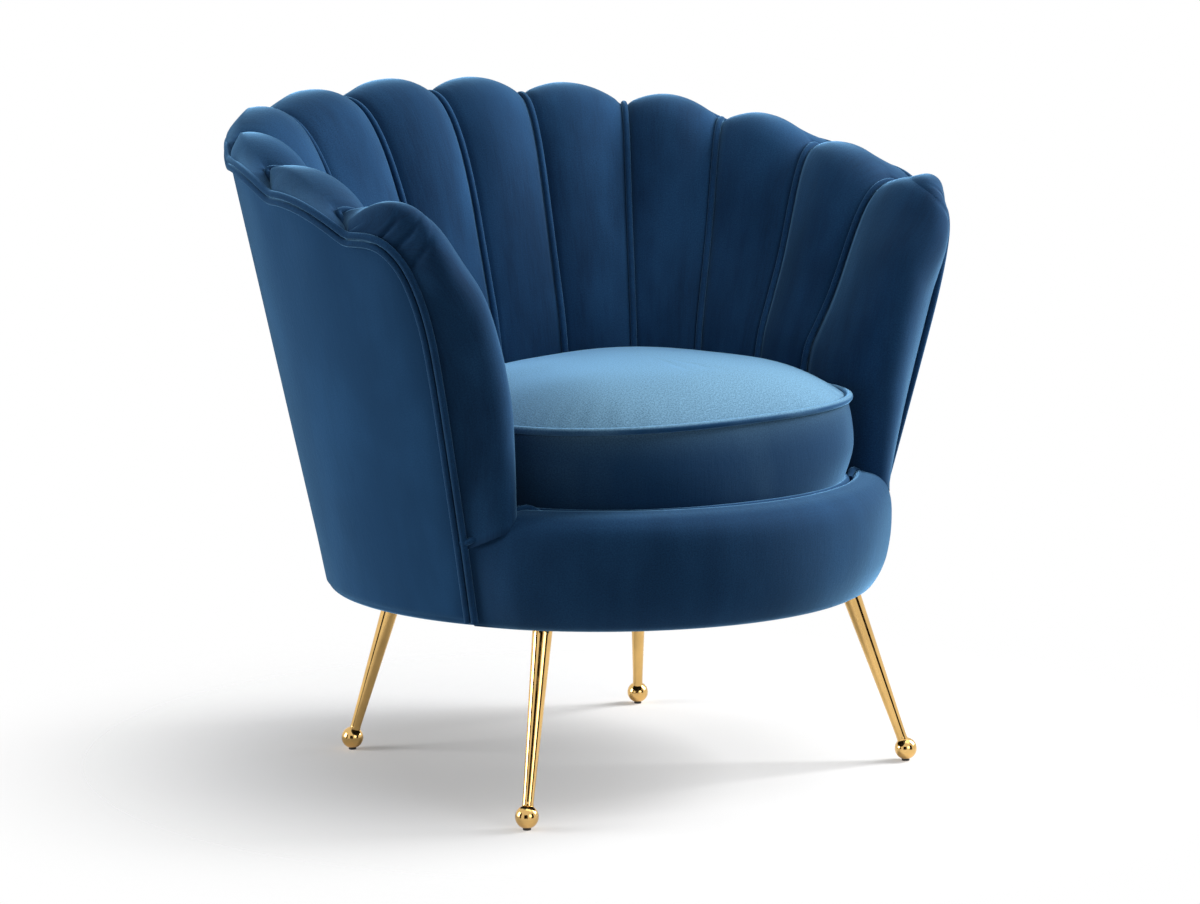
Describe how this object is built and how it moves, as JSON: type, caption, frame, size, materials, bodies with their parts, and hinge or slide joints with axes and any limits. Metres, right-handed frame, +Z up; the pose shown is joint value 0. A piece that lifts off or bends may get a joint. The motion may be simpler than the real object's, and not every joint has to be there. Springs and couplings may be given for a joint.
{
  "type": "tub armchair",
  "caption": "Low round tub armchair with a scalloped, channelled velvet back, a loose seat cushion and slim splayed brass legs with ball feet.",
  "frame": {"origin": "on the floor, under the centre of the chair's bounding box", "axes": "+Z up, the chair faces -Y, +X to the right of somebody who looks at its front"},
  "size_m": [0.8536, 0.7236, 0.7599],
  "materials": {
    "velvet": "deep blue velvet, vertical nap",
    "seat_velvet": "the same blue velvet, brushed lighter",
    "plywood": "plain plywood",
    "beech": "planed hardwood",
    "webbing": "woven elastic webbing",
    "foam": "upholstery foam",
    "brass": "polished",
    "nylon": "moulded",
    "lining": "non-woven dust cover"
  },
  "bodies": {
    "chair": {"channel_left_1": "velvet", "channel_left_2": "velvet", "channel_left_3": "velvet", "channel_left_4": "velvet", "channel_left_5": "velvet", "channel_left_6": "velvet", "channel_right_1": "velvet", "channel_right_2": "velvet", "channel_right_3": "velvet", "channel_right_4": "velvet", "channel_right_5": "velvet", "channel_right_6": "velvet", "outer_cover": "velvet", "edge_welt_upper": "velvet", "edge_welt_lower": "velvet", "front_border": "velvet", "inner_panel_left": "plywood", "inner_panel_right": "plywood", "outer_panel_left": "plywood", "outer_panel_right": "plywood", "border_panel": "plywood", "rib_back": "plywood", "rib_rear_left": "plywood", "rib_rear_right": "plywood", "rib_side_left": "plywood", "rib_side_right": "plywood", "top_rail": "plywood", "base_board": "plywood", "arm_post_left": "beech", "arm_post_right": "beech", "seat_rail_left": "beech", "seat_rail_right": "beech", "seat_rail_front": "beech", "seat_rail_back": "beech", "corner_block_front_left": "beech", "corner_block_front_right": "beech", "corner_block_back_left": "beech", "corner_block_back_right": "beech", "webbing_strap_front": "webbing", "webbing_strap_middle": "webbing", "webbing_strap_back": "webbing", "webbing_strap_lengthwise": "webbing", "seat_deck_pad": "foam", "leg_front_left": "brass", "leg_front_right": "brass", "leg_back_left": "brass", "leg_back_right": "brass", "ball_foot_front_left": "brass", "ball_foot_front_right": "brass", "ball_foot_back_left": "brass", "ball_foot_back_right": "brass", "foot_glide_front_left": "nylon", "foot_glide_front_right": "nylon", "foot_glide_back_left": "nylon", "foot_glide_back_right": "nylon", "dust_cover": "lining"},
    "seat_cushion": {"seat_cushion": "seat_velvet", "cushion_welt_top": "seat_velvet", "cushion_welt_bottom": "seat_velvet"}
  },
  "joints": [
    {"name": "seat_cushion_lift", "type": "slide", "parent": "chair", "child": "seat_cushion", "axis": [0, 0, 1], "range_m": [0, 0.45]}
  ]
}
